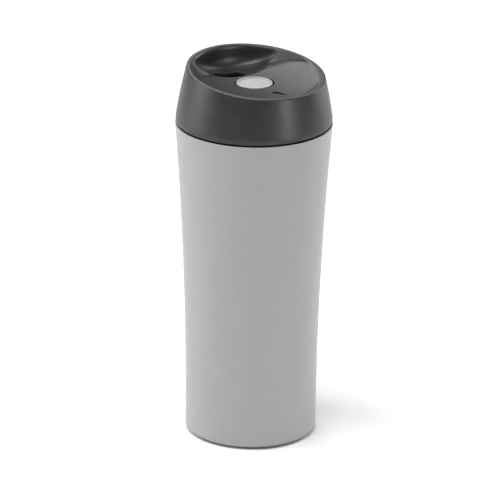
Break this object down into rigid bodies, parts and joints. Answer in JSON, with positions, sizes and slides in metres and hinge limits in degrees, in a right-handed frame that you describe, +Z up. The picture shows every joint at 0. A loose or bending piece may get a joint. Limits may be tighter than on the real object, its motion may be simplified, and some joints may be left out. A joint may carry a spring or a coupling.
{
  "type": "insulated travel mug",
  "caption": "Waisted double-wall travel mug with a slanted screw-on lid, drinking bowl and push button valve.",
  "frame": {"origin": "centre of the foot on the table", "axes": "+Z up along the mug's axis; the drinking side of the lid faces +Y and the vent side -Y"},
  "size_m": [0.075, 0.075, 0.1855],
  "materials": {
    "grey_paint": "satin",
    "steel": "brushed",
    "black_plastic": "matte",
    "silicone": "matte",
    "getter_metal": "dull",
    "grey_plastic": "satin",
    "pad_rubber": "matte",
    "lid_plastic": "fine satin",
    "button_plastic": "satin",
    "white_plastic": "satin",
    "spring_steel": "drawn wire"
  },
  "bodies": {
    "mug": {"outer_shell": "grey_paint", "inner_liner": "steel", "neck_collar": "black_plastic", "collar_seal": "silicone", "base_plate": "steel", "getter_capsule": "getter_metal", "base_cap": "grey_plastic", "foot_pad": "pad_rubber"},
    "gasket": {"lid_gasket": "silicone"},
    "lid": {"lid_shell": "lid_plastic", "lid_insert": "black_plastic", "insert_seal": "silicone", "guide_sleeve": "black_plastic", "stem_seal": "silicone"},
    "button": {"button_cap": "button_plastic", "plunger": "white_plastic", "return_spring": "spring_steel", "valve_disc": "white_plastic", "valve_seal": "silicone", "retaining_clip": "spring_steel"},
    "cam": {"cam_rotor": "white_plastic"}
  },
  "joints": [
    {"name": "lid_rise", "type": "slide", "parent": "mug", "child": "gasket", "axis": [0, 0, 1], "range_m": [0, 0.024]},
    {"name": "lid_turn", "type": "hinge", "parent": "gasket", "child": "lid", "pos_m": [0, 0, 0.15], "axis": [0, 0, 1], "range_deg": [0, 540.1]},
    {"name": "button_press", "type": "slide", "parent": "lid", "child": "button", "axis": [0, 0, -1], "range_m": [0, 0.0045], "stiffness_N_per_m": 350, "springref_m": -0.012, "deforming": ["return_spring"]},
    {"name": "cam_turn", "type": "hinge", "parent": "button", "child": "cam", "pos_m": [0, 0, 0.166], "axis": [0, 0, 1], "range_deg": [0, 45.1]}
  ],
  "couplings": [
    {"joint": "lid_turn", "follows": "lid_rise", "rad_per_m": 392.7},
    {"joint": "cam_turn", "follows": "button_press", "rad_per_m": 174.53}
  ]
}
